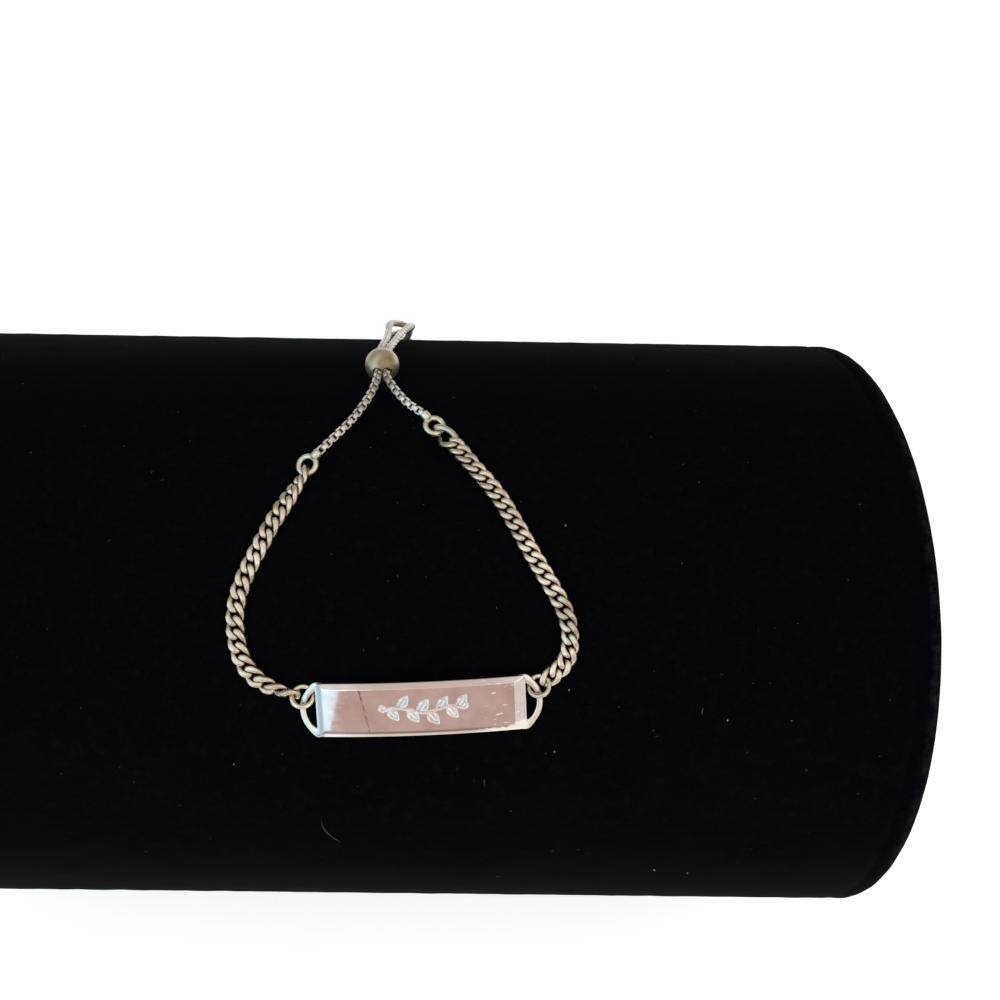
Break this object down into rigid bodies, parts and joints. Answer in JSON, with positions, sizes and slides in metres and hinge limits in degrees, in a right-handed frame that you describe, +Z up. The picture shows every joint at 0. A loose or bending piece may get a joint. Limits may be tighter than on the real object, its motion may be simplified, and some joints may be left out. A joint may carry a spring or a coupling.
{
  "type": "bolo bracelet on a velvet display roll",
  "caption": "Silver bolo bracelet with an arched name plate, curb and box chains and a slider bead, lying on a black velvet display roll.",
  "frame": {"origin": "middle of the flat that the roll rests on, at the level of the table", "axes": "+X along the roll to the right in the picture, +Z up, -Y towards the viewer"},
  "size_m": [0.152, 0.089, 0.0893],
  "materials": {
    "velvet": "black velvet pile with lint",
    "plate_silver": "polished silver with fine scratches and worn edges",
    "ring_silver": "polished silver wire",
    "curb_silver": "polished silver links with tarnish in the gaps",
    "eye_silver": "satin silver with a slight olive tarnish",
    "box_silver": "satin silver links",
    "bead_silver": "smooth silver, slightly yellowed"
  },
  "bodies": {
    "root": {"display_roll": "velvet", "name_plate": "plate_silver", "jump_ring_left": "ring_silver", "jump_ring_right": "ring_silver", "curb_chain_left": "curb_silver", "curb_chain_right": "curb_silver", "end_eye_left": "eye_silver", "end_eye_right": "eye_silver", "box_chain_left": "box_silver", "box_chain_right": "box_silver", "slider_bead": "bead_silver", "tail_ball_left": "bead_silver", "tail_ball_right": "bead_silver"}
  },
  "joints": []
}
